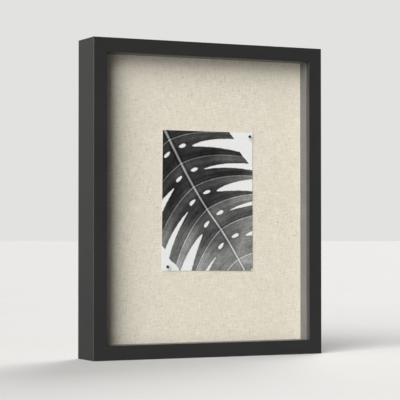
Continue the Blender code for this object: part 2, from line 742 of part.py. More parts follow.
def make_bumpers(parts):
    x = OUTER_WIDTH / 2 - WALL_THICKNESS / 2
    y = depth_to_y(FRAME_DEPTH + GAP)
    shared = cylinder_mesh("bumper", BUMPER_RADIUS, 0, BUMPER_THICKNESS, ROUND_STEPS)
    shade_round(shared)
    places = (
        ("lower_left", -x, BUMPER_CORNER_INSET),
        ("lower_right", x, BUMPER_CORNER_INSET),
        ("upper_left", -x, OUTER_HEIGHT - BUMPER_CORNER_INSET),
        ("upper_right", x, OUTER_HEIGHT - BUMPER_CORNER_INSET),
    )
    for corner, side_x, z in places:
        bumper = add_object("bumper_" + corner, shared, parts, "bumper_felt")
        bumper.location = (side_x, y, z)
        bevel = bumper.modifiers.new("soft_edge", "BEVEL")
        bevel.width = BUMPER_EDGE_RADIUS
        bevel.segments = 2
        bevel.limit_method = "ANGLE"


# --- Assembly ---------------------------------------------------------------------------


def main():
    clear_scene()
    parts = make_collection("shadow_box")
    cutters = make_collection("cutters")

    rails = make_rails(parts)
    make_vnails(parts, cutters, rails)
    make_sheet(
        "glass_pane",
        RABBET_HALF_WIDTH - GLASS_SIDE_PLAY,
        RABBET_HALF_HEIGHT - GLASS_SIDE_PLAY,
        GLASS_DEPTH,
        GLASS_THICKNESS,
        parts,
        "clear_glass",
    )
    make_spacers(parts)
    linen = make_linen(parts)
    board = make_board(parts)
    panel = make_sheet(
        "back_panel",
        RABBET_HALF_WIDTH - PANEL_SIDE_PLAY,
        RABBET_HALF_HEIGHT - PANEL_SIDE_PLAY,
        PANEL_DEPTH,
        PANEL_THICKNESS,
        parts,
        "hardboard",
    )
    print_sheet = make_print(parts)
    make_pins(parts, cutters, (print_sheet, linen, board))
    make_clips(parts, cutters, board, panel)
    make_hangers(parts, cutters, rails)
    make_bumpers(parts)


main()
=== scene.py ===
import json
import math

import bmesh
import bpy
import numpy as np
from mathutils import Matrix, Vector


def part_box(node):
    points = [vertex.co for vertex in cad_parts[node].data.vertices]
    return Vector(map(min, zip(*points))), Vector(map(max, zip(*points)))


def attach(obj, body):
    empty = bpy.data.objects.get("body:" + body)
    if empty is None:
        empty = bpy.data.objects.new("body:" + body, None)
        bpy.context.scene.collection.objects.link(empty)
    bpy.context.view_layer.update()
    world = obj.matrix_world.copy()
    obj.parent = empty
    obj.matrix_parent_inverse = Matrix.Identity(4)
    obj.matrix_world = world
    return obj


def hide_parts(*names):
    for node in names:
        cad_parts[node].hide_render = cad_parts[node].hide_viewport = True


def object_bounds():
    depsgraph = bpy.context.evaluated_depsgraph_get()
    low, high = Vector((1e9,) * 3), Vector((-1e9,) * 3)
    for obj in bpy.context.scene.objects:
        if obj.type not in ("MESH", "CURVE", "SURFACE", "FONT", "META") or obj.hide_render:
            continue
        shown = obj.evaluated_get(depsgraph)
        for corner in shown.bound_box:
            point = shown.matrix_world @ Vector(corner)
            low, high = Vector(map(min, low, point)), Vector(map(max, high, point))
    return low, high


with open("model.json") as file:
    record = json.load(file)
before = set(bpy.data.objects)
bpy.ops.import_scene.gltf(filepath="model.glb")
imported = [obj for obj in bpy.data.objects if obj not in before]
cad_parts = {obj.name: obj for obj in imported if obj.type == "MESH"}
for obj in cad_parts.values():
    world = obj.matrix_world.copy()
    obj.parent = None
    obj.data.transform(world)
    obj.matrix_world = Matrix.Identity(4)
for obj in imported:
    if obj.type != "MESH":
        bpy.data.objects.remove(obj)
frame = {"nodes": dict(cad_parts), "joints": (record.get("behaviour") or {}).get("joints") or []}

# The shadow box's looks: finer rails, spacers, glass, stretched linen, a pinned print, pins and
# the hardware at the back, each riding on the CAD body it belongs to. Metres, in the row frame.

CAD_LOW, CAD_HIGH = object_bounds()
MM = 0.001

# --- Sizes read from the frame ---

GAP = 0.3 * MM  # clearance that the CAD solids keep
LEFT_LOW, LEFT_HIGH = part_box("rail_left")
LINEN_LOW, LINEN_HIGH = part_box("linen_cover")
GLASS_LOW, GLASS_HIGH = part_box("glass_pane")
PANEL_LOW, PANEL_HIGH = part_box("back_panel")
PRINT_LOW, PRINT_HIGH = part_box("leaf_print")

OUTER_HALF_WIDTH = CAD_HIGH[0]
OUTER_HALF_HEIGHT = (CAD_HIGH[2] - CAD_LOW[2]) / 2
MIDDLE_Z = (CAD_HIGH[2] + CAD_LOW[2]) / 2
FRONT_Y = CAD_LOW[1]
FRAME_DEPTH = LEFT_HIGH[1] - LEFT_LOW[1]
FACE_WIDTH = LEFT_HIGH[0] - LEFT_LOW[0]
LIP_DEPTH = GLASS_LOW[1] - GAP - FRONT_Y
WALL_THICKNESS = OUTER_HALF_WIDTH - LINEN_HIGH[0] - GAP
GROOVE_DEPTH = PANEL_HIGH[1] - FRONT_Y
GROOVE_HEIGHT = 2.2 * MM
GROOVE_CUT = 4.0 * MM
CORNERS = ("lower_left", "lower_right", "upper_left", "upper_right")

# --- Node helpers ---


class Shader:
    """A node tree of a material or a world, with short calls for the nodes it is built from."""

    def __init__(self, name, owners=bpy.data.materials):
        self.owner = owners.new(name)
        self.owner.use_nodes = True
        self.tree = self.owner.node_tree
        self.bsdf = self.tree.nodes.get("Principled BSDF")
        self.place = self.node("ShaderNodeTexCoord").outputs["Object"]

    def put(self, socket, value):
        if isinstance(value, bpy.types.NodeSocket):
            self.tree.links.new(value, socket)
        elif value is not None:
            socket.default_value = value

    def node(self, kind, *values, **settings):
        """A node with its first inputs set or linked; None leaves an input as it is."""
        made = self.tree.nodes.new(kind)
        for name, value in settings.items():
            setattr(made, name, value)
        for socket, value in zip(made.inputs, values):
            self.put(socket, value)
        return made

    def math(self, operation, *values):
        return self.node("ShaderNodeMath", *values, operation=operation).outputs[0]

    def axes(self):
        """X, Y and Z of the place in the row frame, as three sockets."""
        return self.node("ShaderNodeSeparateXYZ", self.place).outputs

    def stretched(self, x, y, z):
        """The place multiplied by one scale per axis."""
        made = self.node("ShaderNodeVectorMath", self.place, (x, y, z), operation="MULTIPLY")
        return made.outputs[0]

    def noise(self, per_metre, detail=2.0, rough=0.5, place=None):
        """Noise from 0 to 1; a vector of its own is already scaled."""
        place = place or self.place
        return self.node("ShaderNodeTexNoise", place, None, per_metre, detail, rough).outputs[0]

    def remap(self, value, low, high, to_low=0.0, to_high=1.0, smooth=False):
        made = self.node("ShaderNodeMapRange", value, low, high, to_low, to_high)
        if smooth:
            made.interpolation_type = "SMOOTHSTEP"
        return made.outputs[0]

    def blend(self, factor, first, second, how="MIX"):
        """Mixes two colours, each a socket or an (r, g, b)."""
        made = self.node("ShaderNodeMix", factor, data_type="RGBA", blend_type=how)
        for socket, value in ((made.inputs[6], first), (made.inputs[7], second)):
            if isinstance(value, tuple):
                value = (*value, 1.0)
            self.put(socket, value)
        return made.outputs[2]

    def tones(self, value, first, second, low=0.3, high=0.7):
        """A colour that goes from one tone to another as the value goes from low to high."""
        return self.blend(self.remap(value, low, high), first, second)

    def over(self, colour, tone, value, low, high, most):
        """Lays a tone over a colour where the value goes from low to high, up to a share."""
        return self.blend(self.remap(value, low, high, 0.0, most), colour, tone)

    def bump(self, height, distance, strength=1.0, under=None):
        return self.node("ShaderNodeBump", strength, distance, None, height, under).outputs[0]

    def finish(self, colour, rough, normal=None, metallic=None):
        """Sets the usual shader's sockets and gives back the material."""
        sockets = {"Base Color": colour, "Roughness": rough, "Normal": normal, "Metallic": metallic}
        for name, value in sockets.items():
            self.put(self.bsdf.inputs[name], value)
        return self.owner

    def show(self, node):
        """Makes a node the surface, in place of the shader that is there at first."""
        output = next(made for made in self.tree.nodes if made.name.endswith("Output"))
        self.put(output.inputs["Surface"], node.outputs[0])
        return self.owner


# --- Materials ---


def edge_distance(shader):
    """How far a point of the case is from the nearest outer edge of its box."""
    x, y, z = shader.axes()
    from_side = shader.math("SUBTRACT", OUTER_HALF_WIDTH, shader.math("ABSOLUTE", x))
    from_front = shader.math("SUBTRACT", y, FRONT_Y)
    up = shader.math("ABSOLUTE", shader.math("SUBTRACT", z, MIDDLE_Z))
    from_end = shader.math("SUBTRACT", OUTER_HALF_HEIGHT, up)
    lesser = shader.math("MINIMUM", from_side, from_front)
    greater = shader.math("MAXIMUM", from_side, from_front)
    return shader.math("MAXIMUM", lesser, shader.math("MINIMUM", greater, from_end))


def black_paint(name, along):
    """Satin black paint over fibreboard, brushed along a rail, rubbed at the outer edges."""
    shader = Shader(name)
    streak = (9, 260, 260) if along == "X" else (260, 260, 9)
    brushed = shader.noise(1.0, 3.0, 0.55, shader.stretched(*streak))
    fine = shader.noise(1500, 2.0, 0.6)
    cloudy = shader.noise(22, 2.0, 0.5)
    rubbed = shader.remap(edge_distance(shader), 0.3 * MM, 1.1 * MM, 0.5, 0.0, smooth=True)
    patchy = shader.remap(shader.noise(160, 4.0, 0.65), 0.42, 0.62, 0.35, 1.0)
    colour = shader.tones(cloudy, (0.0200,) * 3, (0.0222,) * 3)
    colour = shader.blend(shader.math("MULTIPLY", rubbed, patchy), colour, (0.060, 0.059, 0.056))
    specks = shader.noise(2600, 1.0, 0.5)
    colour = shader.over(colour, (0.045, 0.045, 0.044), specks, 0.70, 0.76, 0.25)
    rough = shader.remap(brushed, 0.25, 0.75, 0.32, 0.36)
    normal = shader.bump(brushed, 0.012 * MM, 0.2)
    normal = shader.bump(fine, 0.006 * MM, 0.4, normal)
    return shader.finish(colour, rough, normal)


def spacer_wrap():
    """Warm grey paper wrapped round the spacers, with short fibres."""
    shader = Shader("spacer_wrap")
    fibre = shader.noise(1.0, 3.0, 0.6, shader.stretched(900, 900, 260))
    cloudy = shader.noise(45, 2.0, 0.5)
    colour = shader.tones(cloudy, (0.126, 0.122, 0.117), (0.150, 0.145, 0.140))
    colour = shader.over(colour, (0.25, 0.24, 0.23), fibre, 0.56, 0.75, 0.5)
    colour = shader.over(colour, (0.085, 0.081, 0.075), fibre, 0.44, 0.25, 0.5)
    rough = shader.remap(fibre, 0.3, 0.7, 0.38, 0.50)
    return shader.finish(colour, rough, shader.bump(fibre, 0.04 * MM, 0.6))


def clear_glass():
    """Thin anti-glare float glass: it lets light straight through and reflects a little."""
    shader = Shader("clear_glass")
    tint = shader.tones(shader.noise(9, 2.0, 0.5), (0.990, 0.996, 0.992), (0.996, 0.999, 0.997))
    clear = shader.node("ShaderNodeBsdfTransparent", tint)
    gloss = shader.node("ShaderNodeBsdfGlossy")
    smear = shader.noise(14, 3.0, 0.6)
    shader.put(gloss.inputs["Roughness"], shader.remap(smear, 0.35, 0.75, 0.015, 0.06))
    fresnel = shader.node("ShaderNodeFresnel")
    fresnel.inputs["IOR"].default_value = 1.5
    amount = shader.math("MULTIPLY", fresnel.outputs[0], 0.22)
    shader.tree.nodes.remove(shader.bsdf)
    return shader.show(shader.node("ShaderNodeMixShader", amount, clear.outputs[0], gloss.outputs[0]))


THREAD_PITCH = 0.8 * MM


def linen_weave():
    """Natural linen: a plain weave of yarns that vary in tone, with slubs, dark fibres and painted shade
    where the yarns dip.
    """
    shader = Shader("linen_weave")
    x, _, z = shader.axes()
    turn = math.pi / THREAD_PITCH
    light, mid, dark = (0.912, 0.847, 0.742), (0.707, 0.650, 0.555), (0.490, 0.440, 0.361)
    fleck = (0.340, 0.298, 0.236)

    def yarns(across, along, wander, filaments, fleck_seed):
        """A set of yarns: the wave across them, each yarn's own tone along it, and its colour."""
        drift = shader.remap(shader.noise(1.0, 2.0, 0.5, wander), 0.0, 1.0, -1.3, 1.3)
        phase = shader.math("ADD", shader.math("MULTIPLY", across, turn), drift)
        number = shader.math("FLOOR", shader.math("DIVIDE", phase, math.pi))
        tones = []
        for per_metre, seed in ((75, 0.0), (150, fleck_seed)):
            row = shader.math("MULTIPLY", number, 17.31)
            column = shader.math("MULTIPLY", along, per_metre)
            spot = shader.node("ShaderNodeCombineXYZ", row, column, seed)
            tones.append(shader.noise(1.0, 2.0, 0.6, spot.outputs[0]))
        strands = shader.noise(1.0, 2.0, 0.6, filaments)
        colour = shader.tones(tones[0], mid, light, 0.34, 0.66)
        colour = shader.over(colour, fleck, tones[1], 0.62, 0.72, 0.55)
        colour = shader.over(colour, dark, strands, 0.52, 0.30, 0.55)
        return shader.math("SINE", phase), tones[0], colour

    warp, warp_tone, warp_colour = yarns(
        x, z, shader.stretched(360, 360, 34), shader.stretched(4200, 900, 620), 3.7
    )
    weft, weft_tone, weft_colour = yarns(
        z, x, shader.stretched(34, 360, 360), shader.stretched(620, 900, 4200), 8.1
    )

    def height(across, along, turned_over):
        """A round yarn that rises over and dips under the yarns it crosses."""
        crown = shader.math("POWER", shader.math("ABSOLUTE", across), 0.6)
        dip = shader.math("MULTIPLY", shader.math("SIGN", across), along)
        crown = shader.math("MULTIPLY", crown, 0.5)
        return shader.math("MULTIPLY_ADD", dip, 0.5 * turned_over, crown)

    warp_height, weft_height = height(warp, weft, 1), height(weft, warp, -1)
    pillow = shader.math("MAXIMUM", warp_height, weft_height)
    over = shader.remap(shader.math("SUBTRACT", warp_height, weft_height), -0.06, 0.06)
    cloudy = shader.noise(42, 3.0, 0.6)
    level_streaks = shader.noise(1.0, 3.0, 0.65, shader.stretched(90, 380, 900))
    upright_streaks = shader.noise(1.0, 3.0, 0.65, shader.stretched(900, 380, 90))
    nubs = shader.math("MULTIPLY", shader.math("ADD", level_streaks, upright_streaks), 0.5)
    colour = shader.blend(over, weft_colour, warp_colour)
    # Painted shade: the colour darkens where the yarn tops sink, in the gaps between crossing yarns.
    colour = shader.blend(shader.remap(pillow, 0.15, 0.75, 0.55, 0.0, smooth=True), colour, dark)
    colour = shader.over(colour, dark, nubs, 0.53, 0.63, 0.55)
    colour = shader.over(colour, light, nubs, 0.48, 0.36, 0.74)
    colour = shader.over(colour, mid, cloudy, 0.36, 0.62, 0.40)
    colour = shader.over(colour, fleck, shader.noise(560, 1.0, 0.5), 0.70, 0.75, 0.75)
    thick_warp, thick_weft = (shader.remap(tone, 0.60, 0.72) for tone in (warp_tone, weft_tone))
    slub = shader.math("MAXIMUM", thick_warp, thick_weft)
    hair = shader.noise(3200, 3.0, 0.7)
    relief = shader.math("MULTIPLY_ADD", slub, 0.5, pillow)
    normal = shader.bump(hair, 0.03 * MM, 0.4, shader.bump(relief, 0.10 * MM, 0.55))
    rough = shader.remap(hair, 0.3, 0.7, 0.86, 0.97)
    return shader.finish(colour, rough, normal)


def photo_paper():
    """The print: its drawing is a colour attribute on the mesh, under a satin paper surface."""
    shader = Shader("photo_paper")
    drawing = shader.node("ShaderNodeAttribute", attribute_name="drawing")
    grain = shader.noise(2400, 2.0, 0.6)
    specks = shader.blend(grain, (0.955,) * 3, (1.0,) * 3)
    colour = shader.blend(1.0, drawing.outputs["Color"], specks, "MULTIPLY")
    rough = shader.remap(shader.noise(700, 2.0, 0.5), 0.3, 0.7, 0.34, 0.42)
    normal = shader.bump(grain, 0.006 * MM, 0.4)
    return shader.finish(colour, rough, normal)


def black_plastic():
    shader = Shader("black_plastic")
    swirl = shader.noise(1800, 3.0, 0.6)
    colour = shader.tones(swirl, (0.004, 0.004, 0.0045), (0.008, 0.008, 0.0085))
    rough = shader.remap(swirl, 0.3, 0.7, 0.20, 0.32)
    shader.bsdf.inputs["Specular IOR Level"].default_value = 0.3
    return shader.finish(colour, rough, shader.bump(swirl, 0.01 * MM, 0.3))


def plated_metal(name, low, high, rough_low, rough_high, stain=(0.30, 0.27, 0.22)):
    """Stamped and plated sheet: fine drawn lines, soft stains and dull patches."""
    shader = Shader(name)
    drawn = shader.noise(1.0, 3.0, 0.6, shader.stretched(2600, 900, 700))
    cloud = shader.noise(260, 3.0, 0.6)
    colour = shader.over(shader.tones(drawn, low, high), stain, cloud, 0.56, 0.74, 0.45)
    dull = shader.remap(cloud, 0.45, 0.75, 0.0, 0.15)
    rough = shader.math("ADD", shader.remap(drawn, 0.3, 0.7, rough_low, rough_high), dull)
    normal = shader.bump(drawn, 0.008 * MM, 0.5)
    return shader.finish(colour, rough, normal, 1.0)


def hardboard():
    """Brown pressed fibreboard, its smooth side out, with dark and light fibres."""
    shader = Shader("hardboard")
    mottle = shader.noise(55, 3.0, 0.6)
    fibre = shader.noise(1.0, 4.0, 0.7, shader.stretched(900, 500, 420))
    fleck = shader.noise(1.0, 2.0, 0.6, shader.stretched(520, 500, 1300))
    colour = shader.tones(mottle, (0.215, 0.128, 0.066), (0.285, 0.178, 0.096))
    colour = shader.over(colour, (0.40, 0.28, 0.165), fibre, 0.55, 0.75, 0.6)
    colour = shader.over(colour, (0.10, 0.055, 0.03), fleck, 0.60, 0.74, 0.7)
    rough = shader.remap(fibre, 0.3, 0.7, 0.42, 0.60)
    return shader.finish(colour, rough, shader.bump(fibre, 0.03 * MM, 0.5))


def soft_board():
    """Off-white fibre board, which shows only when the box is opened."""
    shader = Shader("soft_board")
    fibre = shader.noise(900, 4.0, 0.7)
    colour = shader.tones(fibre, (0.60, 0.56, 0.48), (0.76, 0.73, 0.66))
    return shader.finish(colour, 0.9, shader.bump(fibre, 0.1 * MM, 0.6))


def soft_rubber():
    shader = Shader("soft_rubber")
    dust = shader.noise(1400, 3.0, 0.7)
    colour = shader.over((0.018, 0.018, 0.018), (0.075, 0.072, 0.068), dust, 0.45, 0.75, 0.6)
    rough = shader.remap(dust, 0.3, 0.7, 0.6, 0.85)
    return shader.finish(colour, rough, shader.bump(dust, 0.03 * MM, 0.5))


PAINT_ACROSS = black_paint("black_paint_across", "X")
PAINT_UPRIGHT = black_paint("black_paint_upright", "Z")
BRIGHT_STEEL = plated_metal("bright_steel", (0.50, 0.51, 0.52), (0.64, 0.645, 0.65), 0.24, 0.38)
NICKEL = plated_metal("nickel_plate", (0.47, 0.45, 0.41), (0.60, 0.58, 0.54), 0.28, 0.42)
BRASS = plated_metal("brass_plate", (0.60, 0.44, 0.17), (0.74, 0.57, 0.27), 0.26, 0.40, (0.30, 0.20, 0.08))

# --- Mesh helpers ---

STAGE = bpy.context.scene.collection


def corners(node):
    """A CAD node's lowest corner, highest corner and middle."""
    low, high = (Vector(corner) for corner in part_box(node))
    return low, high, (low + high) / 2


def link(data, name=None):
    """A new object in the scene for a mesh, a light or a camera."""
    made = bpy.data.objects.new(name or data.name, data)
    STAGE.objects.link(made)
    return made


def apply_modifiers(target):
    """Gives an object its own finished mesh, free of slivers, and no modifiers."""
    graph = bpy.context.evaluated_depsgraph_get()
    mesh = bpy.data.meshes.new_from_object(target.evaluated_get(graph))
    mesh.name = target.name
    shape = bmesh.new()
    shape.from_mesh(mesh)
    bmesh.ops.remove_doubles(shape, verts=shape.verts, dist=0.002 * MM)
    bmesh.ops.dissolve_degenerate(shape, edges=shape.edges, dist=0.002 * MM)
    shape.to_mesh(mesh)
    shape.free()
    target.data = mesh
    target.modifiers.clear()


def cut(target, cutter_mesh, operation="DIFFERENCE"):
    """Cuts the target with a mesh at once; the cutter doesn't stay in the scene."""
    cutter = link(cutter_mesh)
    boolean = target.modifiers.new("cut", "BOOLEAN")
    boolean.operation = operation
    boolean.solver = "EXACT"
    boolean.object = cutter
    apply_modifiers(target)
    bpy.data.objects.remove(cutter)


def soften(target, width, segments=2):
    """Rounds the sharp edges."""
    bevel = target.modifiers.new("edges", "BEVEL")
    bevel.width = width
    bevel.segments = segments
    bevel.limit_method = "ANGLE"
    bevel.angle_limit = math.radians(30)
    apply_modifiers(target)


def shade(target, angle=38):
    """Smooth shading that keeps the sharp edges sharp and the flats flat."""
    target.data.shade_smooth()
    target.data.set_sharp_from_angle(angle=math.radians(angle))
    weighted = target.modifiers.new("flats", "WEIGHTED_NORMAL")
    weighted.keep_sharp = True


def mesh_of(name, shape):
    mesh = bpy.data.meshes.new(name)
    bmesh.ops.recalc_face_normals(shape, faces=shape.faces)
    shape.to_mesh(mesh)
    shape.free()
    return mesh


def box_mesh(name, low, high):
    low, high = Vector(low), Vector(high)
    shape = bmesh.new()
    bmesh.ops.create_cube(shape, size=1.0)
    bmesh.ops.scale(shape, vec=high - low, verts=shape.verts)
    bmesh.ops.translate(shape, vec=(low + high) / 2, verts=shape.verts)
    return mesh_of(name, shape)


def prism_mesh(name, points, low, high):
    """An outline in X and Y, extruded along Z from low to high."""
    shape = bmesh.new()
    rings = [[shape.verts.new((x, y, z)) for x, y in points] for z in (low, high)]
    count = len(points)
    for i in range(count):
        j = (i + 1) % count
        shape.faces.new((rings[0][i], rings[0][j], rings[1][j], rings[1][i]))
    for ring in rings:
        shape.faces.new(ring)
    return mesh_of(name, shape)


def turned_mesh(name, profile, steps=32):
    """A profile of (radius, height) points turned about Y, height along +Y."""
    shape = bmesh.new()
    rings = []
    for radius, height in profile:
        if radius == 0:
            rings.append([shape.verts.new((0, height, 0))])
            continue
        around = arc(0, 0, radius, 0, 360, steps)[:-1]
        rings.append([shape.verts.new((x, height, z)) for x, z in around])
    for first, second in zip(rings, rings[1:]):
        for i in range(steps):
            j = (i + 1) % steps
            turns = ((first, i), (first, j), (second, j), (second, i))
            shape.faces.new(list(dict.fromkeys(ring[k % len(ring)] for ring, k in turns)))
    return mesh_of(name, shape)


def pin_mesh(radius, low, high, steps):
    """A plain round pin along Y, to cut a hole with."""
    return turned_mesh("hole", [(0, low), (radius, low), (radius, high), (0, high)], steps)


def arc(centre_x, centre_y, radius, start, end, steps=6):
    """Points along an arc, both ends included; the angles are in degrees."""
    angles = [math.radians(start + (end - start) * i / steps) for i in range(steps + 1)]
    return [(centre_x + radius * math.cos(a), centre_y + radius * math.sin(a)) for a in angles]


def piece(target, material, body, node):
    """Gives a finished object its material, the body it rides on and the CAD node it shows."""
    target.data.materials.clear()
    target.data.materials.append(material)
    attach(target, body)
    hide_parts(node)


def place_turned(name, profile, steps, centre, material, body, node, angle=38):
    """A finished turned piece, its axis along Y through a place."""
    mesh = turned_mesh(name, profile, steps)
    mesh.transform(Matrix.Translation(centre))
    made = link(mesh)
    shade(made, angle)
    piece(made, material, body, node)


# --- Rails ---

RAIL_EDGE_RADIUS = 0.5 * MM
SIGHT_EDGE_RADIUS = 0.3 * MM
MITRE_LINE = 0.05 * MM  # half the hairline between two rails
VNAIL_CLEARANCE = 0.06 * MM


def rail_profile():
    """Section of a rail: X from its outer side inwards, Y back from its front face."""
    radius, sight_radius = RAIL_EDGE_RADIUS, SIGHT_EDGE_RADIUS
    groove_back = GROOVE_DEPTH + GROOVE_HEIGHT
    points = arc(radius, radius, radius, 180, 270)
    points += arc(FACE_WIDTH - sight_radius, sight_radius, sight_radius, 270, 360)
    points += [
        (FACE_WIDTH, LIP_DEPTH),
        (WALL_THICKNESS, LIP_DEPTH),
        (WALL_THICKNESS, GROOVE_DEPTH),
        (WALL_THICKNESS - GROOVE_CUT, GROOVE_DEPTH),
        (WALL_THICKNESS - GROOVE_CUT, groove_back),
        (WALL_THICKNESS, groove_back),
        (WALL_THICKNESS, FRAME_DEPTH),
    ]
    points += arc(radius, FRAME_DEPTH - radius, radius, 90, 180)
    return points


def widened(node, clearance):
    """A CAD node's mesh grown along its normals, to cut the slot that it sits in."""
    shape = bmesh.new()
    shape.from_mesh(frame["nodes"][node].data)
    bmesh.ops.remove_doubles(shape, verts=shape.verts, dist=0.001 * MM)
    centre = sum((v.co for v in shape.verts), Vector()) / len(shape.verts)
    shape.normal_update()
    for vertex in shape.verts:
        push = vertex.normal * clearance * 1.6
        if vertex.co.y > centre.y:
            push.y = 1.0 * MM
        vertex.co += push
    return mesh_of(node + "_slot", shape)


def make_rails():
    upright = (OUTER_HALF_HEIGHT, OUTER_HALF_WIDTH, PAINT_UPRIGHT)
    across = (OUTER_HALF_WIDTH, OUTER_HALF_HEIGHT, PAINT_ACROSS)
    for quarter_turns, (side, word) in enumerate(
        (("left", "left"), ("top", "upper"), ("right", "right"), ("bottom", "lower"))
    ):
        half_length, distance, paint = across if quarter_turns % 2 else upright
        mesh = prism_mesh("frame_rail_" + side, rail_profile(), -half_length, half_length)
        for vertex in mesh.vertices:
            reach = half_length - vertex.co.x - MITRE_LINE * math.sqrt(2)
            vertex.co.z = math.copysign(reach, vertex.co.z)
        mesh.transform(Matrix.Translation((-distance, FRONT_Y, 0)))
        mesh.transform(Matrix.Rotation(math.radians(90 * quarter_turns), 4, "Y"))
        mesh.transform(Matrix.Translation((0, 0, MIDDLE_Z)))
        rail = link(mesh)
        soften(rail, 0.12 * MM)
        for corner in CORNERS:
            if word in corner:
                cut(rail, widened("v_nail_" + corner, VNAIL_CLEARANCE))
        shade(rail)
        piece(rail, paint, "case", "rail_" + side)


# --- Glass, spacers, linen and boards ---


WRAP_THICKNESS = 0.25 * MM  # a spacer's face stands this far inside its CAD node's


def make_glass():
    glass = link(box_mesh("glass_sheet", GLASS_LOW, GLASS_HIGH))
    soften(glass, 0.25 * MM)
    shade(glass)
    piece(glass, clear_glass(), "case", "glass_pane")


def make_spacers():
    """Wrapped strips; the upright pair runs through and the level pair fits between."""
    wrap = spacer_wrap()
    step = WRAP_THICKNESS
    inward = {"left": (1, 0, step), "right": (0, 0, -step), "top": (0, 2, -step), "bottom": (1, 2, step)}
    for side, (corner, axis, move) in inward.items():
        low, high, _ = corners("spacer_" + side)
        low.y -= 0.2 * MM
        (low, high)[corner][axis] += move
        strip = link(box_mesh("spacer_strip_" + side, low, high))
        soften(strip, 0.25 * MM, 3)
        shade(strip)
        piece(strip, wrap, "case", "spacer_" + side)


LINEN_THICKNESS = 0.35 * MM
LINEN_FOLD = 0.7 * MM
EASE_WIDTH = 30 * MM  # strip along the board's edges where the cloth's waves die out


def folded(along, half):
    """Where a length of cloth from the middle lies: across, and how far back over the edge."""
    side = math.copysign(1, along)
    flat = half - LINEN_FOLD
    past = abs(along) - flat
    if past <= 0:
        return along, 0.0
    quarter = LINEN_FOLD * math.pi / 2
    if past <= quarter:
        angle = past / LINEN_FOLD
        return side * (flat + LINEN_FOLD * math.sin(angle)), LINEN_FOLD * (1 - math.cos(angle))
    return side * half, LINEN_FOLD + past - quarter


def cloth_steps(half, drop, cell):
    """Lengths along the cloth from edge to edge: even over the face, close in the folds."""
    flat = half - LINEN_FOLD
    quarter = LINEN_FOLD * math.pi / 2
    inner = [flat * i / round(flat / cell) for i in range(round(flat / cell) + 1)]
    fold = [flat + quarter * i / 4 for i in range(1, 5)]
    down = [flat + quarter + (drop - LINEN_FOLD) * i / 3 for i in range(1, 4)]
    positive = inner + fold + down
    return [-value for value in reversed(positive[1:])] + positive


def make_linen():
    """Linen stretched over the board: one cloth, cut square at the corners, folded down the edges."""
    half_width = LINEN_HIGH[0]
    half_height = (LINEN_HIGH[2] - LINEN_LOW[2]) / 2
    drop = LINEN_HIGH[1] - LINEN_LOW[1]
    across = cloth_steps(half_width, drop, 4.0 * MM)
    upward = cloth_steps(half_height, drop, 4.0 * MM)
    flat_width = half_width - LINEN_FOLD
    flat_height = half_height - LINEN_FOLD
    shape = bmesh.new()
    grid = {}
    for i, s in enumerate(across):
        for j, t in enumerate(upward):
            if abs(s) > flat_width + 1e-9 and abs(t) > flat_height + 1e-9:
                continue
            x, back_x = folded(s, half_width)
            z, back_z = folded(t, half_height)
            ease = math.prod(
                min(1.0, (flat - min(abs(at), flat)) / EASE_WIDTH)
                for at, flat in ((s, flat_width), (t, flat_height))
            )
            wave = math.sin(61 * x + 17 * z + 1.1) * math.sin(43 * z - 23 * x)
            wave += 0.6 * math.sin(150 * x + 0.7) * math.sin(118 * z)
            sink = ease * (0.07 + 0.035 * wave) * MM
            y = LINEN_LOW[1] + back_x + back_z + sink
            grid[i, j] = shape.verts.new((x, y, MIDDLE_Z + z))
    for i in range(len(across) - 1):
        for j in range(len(upward) - 1):
            quad = [grid.get(key) for key in ((i, j), (i + 1, j), (i + 1, j + 1), (i, j + 1))]
            if all(quad):
                shape.faces.new(quad)
    mesh = bpy.data.meshes.new("linen_cloth")
    bmesh.ops.recalc_face_normals(shape, faces=shape.faces)
    if sum(face.normal.y for face in shape.faces) > 0:
        bmesh.ops.reverse_faces(shape, faces=shape.faces)
    shape.to_mesh(mesh)
    shape.free()
    linen = link(mesh)
    solidify = linen.modifiers.new("cloth", "SOLIDIFY")
    solidify.thickness = LINEN_THICKNESS
    solidify.offset = -1.0
    apply_modifiers(linen)
    linen.data.shade_smooth()
    piece(linen, linen_weave(), "case", "linen_cover")


def make_back_panel():
    panel = link(box_mesh("hardboard_back", PANEL_LOW, PANEL_HIGH))
    soften(panel, 0.4 * MM)
    for place in CLIP_PLACES:
        hole = pin_mesh(1.7 * MM, -9 * MM, 9 * MM, 24)
        hole.transform(Matrix.Translation(clip_axis(place)))
        cut(panel, hole)
    shade(panel)
    piece(panel, hardboard(), "case", "back_panel")


# --- Print ---

PRINT_WIDTH = 126.0 * MM
PRINT_HEIGHT = 175.0 * MM
PRINT_TILT = math.radians(0.3)
PRINT_CELL = 0.5 * MM
PAPER_THICKNESS = 0.25 * MM
PRINT_CURL = 0.7 * MM  # how far the two unpinned corners lift
PRINT_LIGHT = 0.935  # tones are divided by the light that falls on the print
PAPER_SHINE = 0.008  # and lowered by the sheen of its surface

# The drawing is a split leaf of this script's own, worked out by rule: a midrib from the upper
# left to the lower right, ribs that fan out on both sides of it, and between two ribs a slot
# that runs out past the leaf's edge and a small hole near the midrib. It is in millimetres,
# right and down from the print's upper left corner.
MIDRIB = ((-4, -12), (16, 24), (38, 62), (62, 98), (88, 132), (122, 186))
RIB_STEP = 0.155  # share of the midrib from one rib to the next
RIB_SHARES = [RIB_STEP * i - 0.02 for i in range(7)]
LEAF_REACH = 80.0  # from the midrib to the leaf's edge
SLOT_START, SLOT_END = 0.30, 1.25  # shares of the reach
SLOT_HALF_WIDTH = 9.0
HOLE_PLACE, HOLE_HALF_LENGTH, HOLE_HALF_WIDTH = 0.15, 5.2, 2.2


